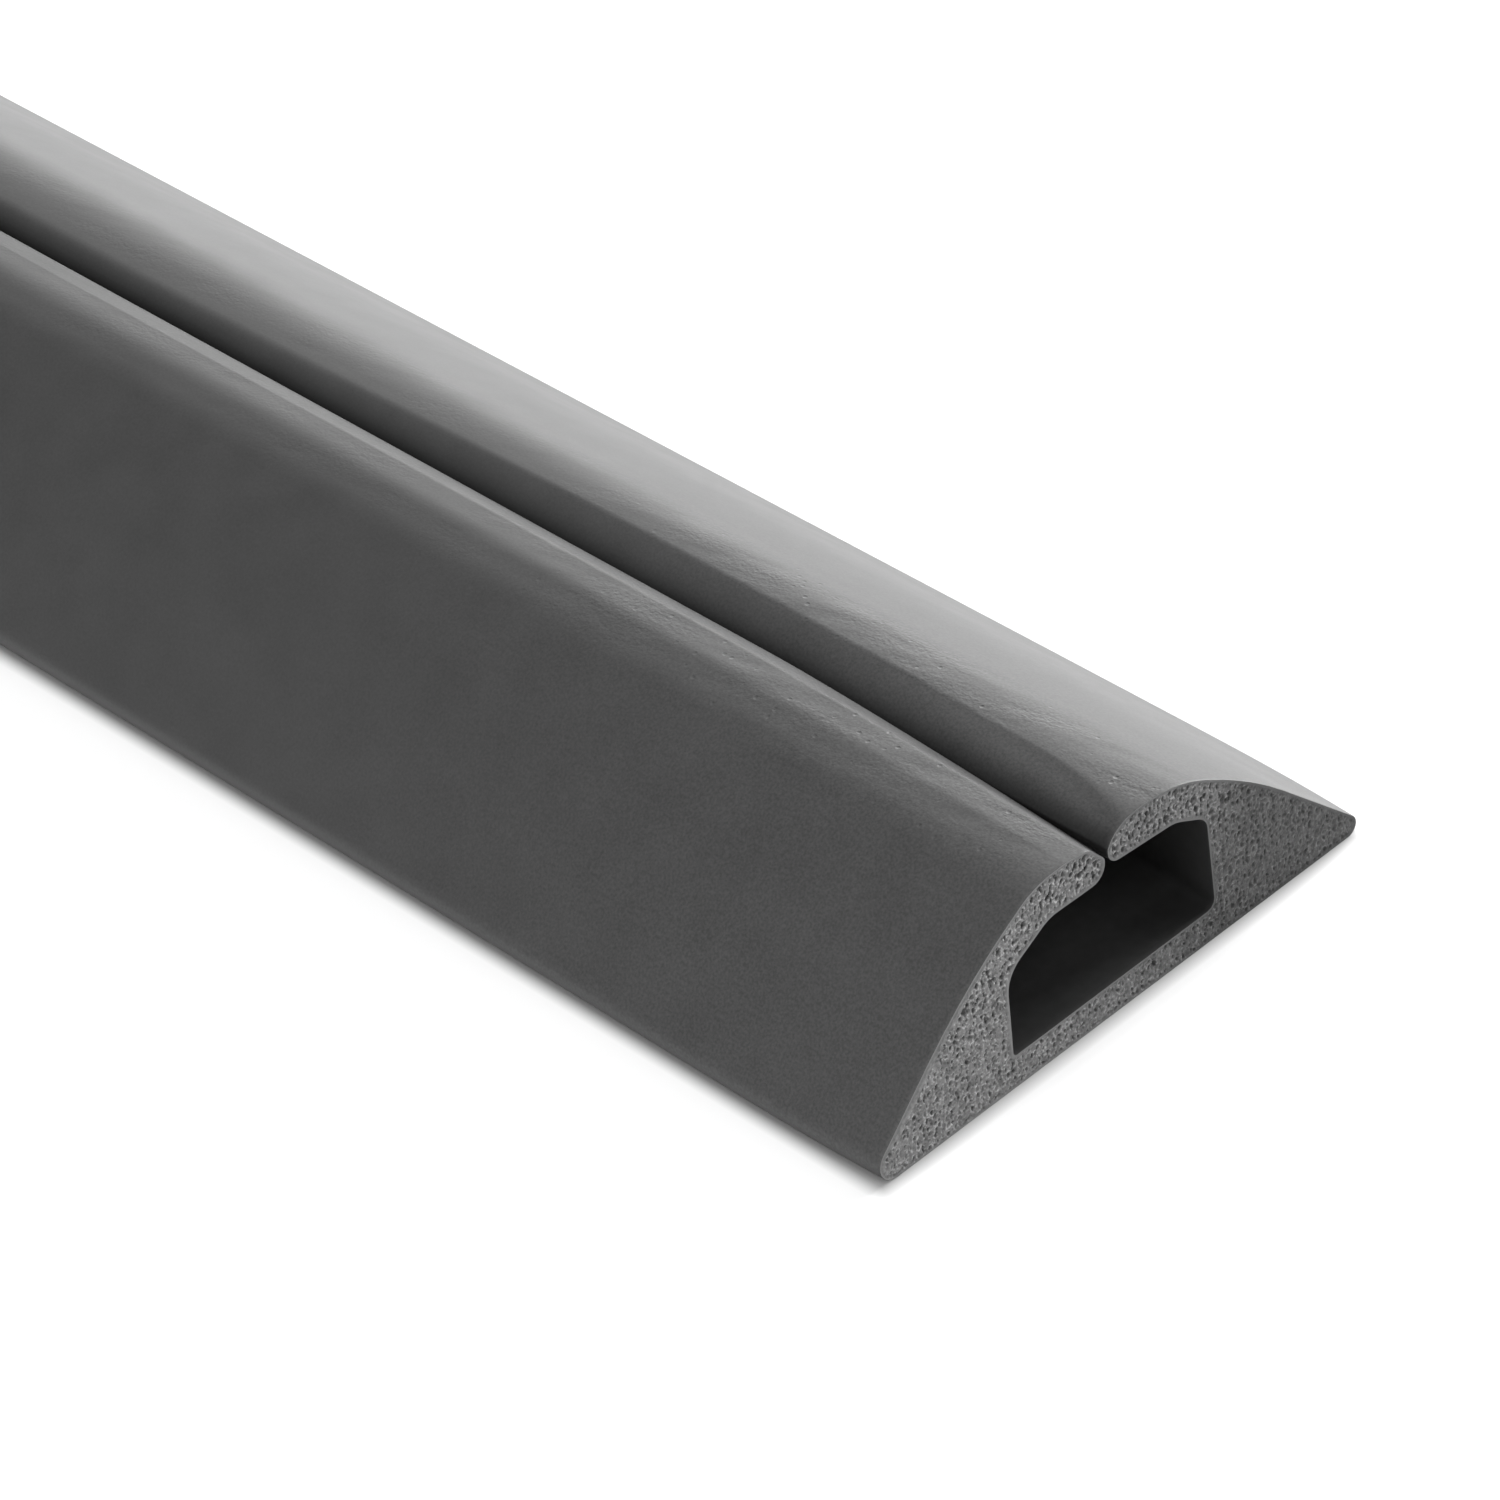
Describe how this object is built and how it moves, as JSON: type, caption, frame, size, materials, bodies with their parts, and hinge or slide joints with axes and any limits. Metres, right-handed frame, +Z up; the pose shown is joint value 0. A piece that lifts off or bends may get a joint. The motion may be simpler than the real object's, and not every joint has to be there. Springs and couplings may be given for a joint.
{
  "type": "floor cord cover",
  "caption": "Long low strip of dark grey foamed vinyl with ramped sides and a slit along the crown that opens into a channel for cords.",
  "frame": {"origin": "on the floor, under the middle of the strip's length and width", "axes": "+X along the strip, +Y across it, +Z up from the floor through the slit"},
  "size_m": [1.524, 0.0634, 0.021],
  "materials": {
    "foamed_vinyl": "semi-matt extruded skin, open foam cells on the two cut ends"
  },
  "bodies": {
    "root": {"cord_cover": "foamed_vinyl"}
  },
  "joints": []
}
